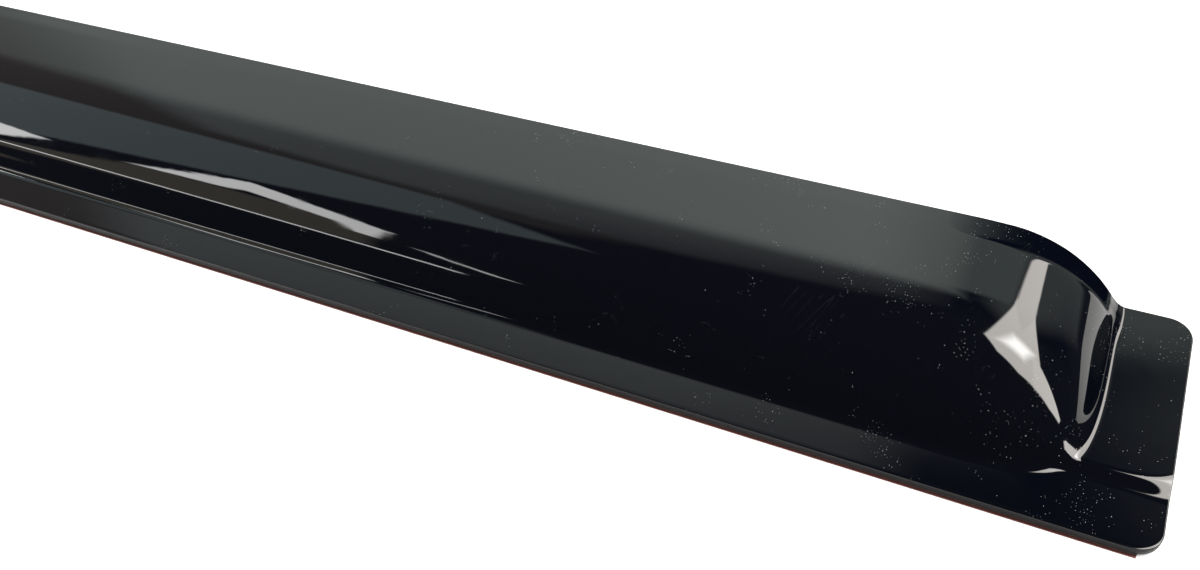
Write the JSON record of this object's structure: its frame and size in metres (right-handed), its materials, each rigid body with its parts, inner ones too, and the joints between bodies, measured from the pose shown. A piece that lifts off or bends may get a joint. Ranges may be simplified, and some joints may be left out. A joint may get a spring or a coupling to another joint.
{
  "type": "window visor",
  "caption": "Long smoked acrylic side window visor with a rounded bulge, a flat stick-on flange, closed ends and flat end tabs, on foam tape.",
  "frame": {"origin": "on the plane of the tape's release liner, under the middle of the visor's length and width", "axes": "+X along the visor, +Y from the stuck flange towards the free edge, +Z away from the window"},
  "size_m": [0.8, 0.0904, 0.0334],
  "materials": {
    "smoked_acrylic": "polished, formed smoked acrylic sheet",
    "foam_tape": "matt closed-cell acrylic foam",
    "release_liner": "satin red film"
  },
  "bodies": {
    "root": {"visor_shell": "smoked_acrylic", "flange_tape": "foam_tape", "flange_liner": "release_liner", "tab_tape_left": "foam_tape", "tab_tape_right": "foam_tape", "tab_liner_left": "release_liner", "tab_liner_right": "release_liner"}
  },
  "joints": []
}
